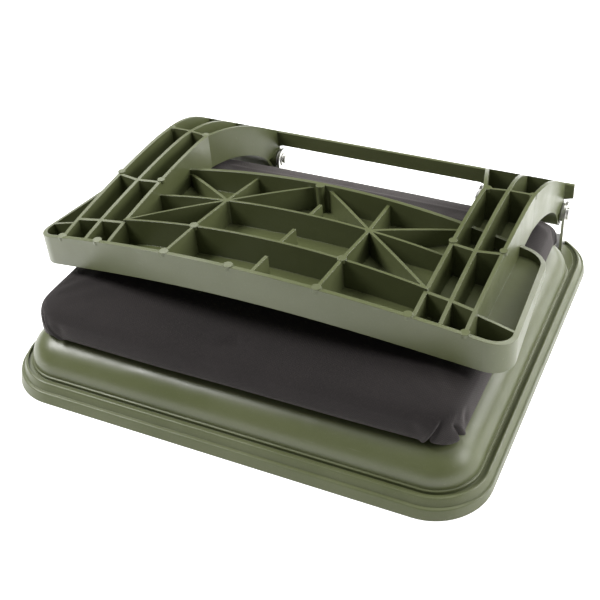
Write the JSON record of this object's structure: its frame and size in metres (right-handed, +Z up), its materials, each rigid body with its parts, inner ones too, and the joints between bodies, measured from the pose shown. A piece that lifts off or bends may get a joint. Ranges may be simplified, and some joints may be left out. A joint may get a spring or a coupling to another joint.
{
  "type": "garden kneeler seat",
  "caption": "Low padded garden kneeler seat: a moulded base with a fabric cushion and a ribbed back frame that folds flat over it on rear hinges.",
  "frame": {"origin": "bottom centre of the base shell's rim, on the floor", "axes": "+X across the seat to the sitter's right, +Y to the rear where the back frame is hinged, +Z up; back frame folded down"},
  "size_m": [0.43, 0.375, 0.1416],
  "materials": {
    "olive_plastic": "satin moulded",
    "cushion_fabric": "woven, matte",
    "foam": "open foam",
    "board": "raw",
    "zinc_steel": "zinc plated",
    "nylon": "natural"
  },
  "bodies": {
    "base": {"base_shell": "olive_plastic", "cushion_cover": "cushion_fabric", "cushion_board": "board", "cushion_foam": "foam", "cover_staples": "zinc_steel", "cushion_screws": "zinc_steel", "hinge_bracket_right": "zinc_steel", "hinge_bracket_left": "zinc_steel", "hinge_pin_right": "zinc_steel", "hinge_pin_left": "zinc_steel", "hinge_clip_right": "zinc_steel", "hinge_clip_left": "zinc_steel", "hinge_washers_right": "nylon", "hinge_washers_left": "nylon", "bracket_bolts_right": "zinc_steel", "bracket_bolts_left": "zinc_steel", "bracket_nuts_right": "zinc_steel", "bracket_nuts_left": "zinc_steel"},
    "back": {"back_frame": "olive_plastic"}
  },
  "joints": [
    {"name": "back_hinge", "type": "hinge", "parent": "base", "child": "back", "pos_m": [0, 0.1655, 0.05], "axis": [-1, 0, 0], "range_deg": [0, 100]}
  ]
}
